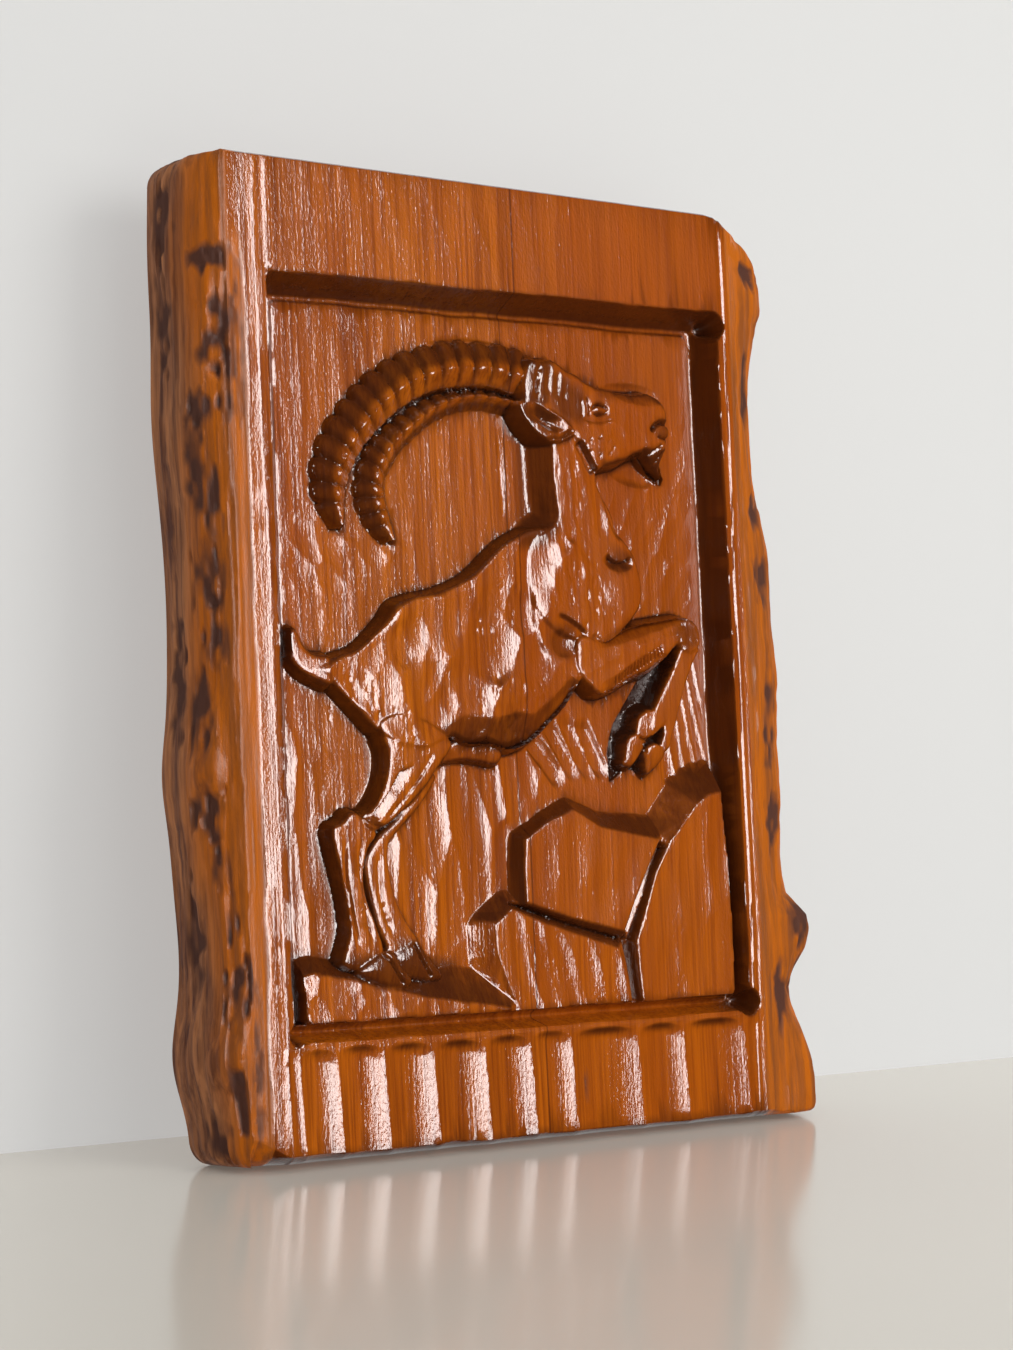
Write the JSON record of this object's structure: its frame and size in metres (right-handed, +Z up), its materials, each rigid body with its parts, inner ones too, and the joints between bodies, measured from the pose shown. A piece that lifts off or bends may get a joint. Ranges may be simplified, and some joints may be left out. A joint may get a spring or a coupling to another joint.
{
  "type": "ibex relief wall carving",
  "caption": "Upright wooden wall panel with natural side edges and a sunk field holding a carved ibex that rears over rocks.",
  "frame": {"origin": "middle of the flat back, at half the board's height, behind the centre line of the sunk field", "axes": "+X to the viewer's right, +Y from the carved front through the board into the wall, +Z up along the grain"},
  "size_m": [0.2804, 0.032, 0.365],
  "materials": {
    "lacquered_softwood": "orange-brown stained softwood under semi-gloss lacquer, dark end grain, dark knots on the natural edges"
  },
  "bodies": {
    "root": {"carved_panel": "lacquered_softwood"}
  },
  "joints": []
}
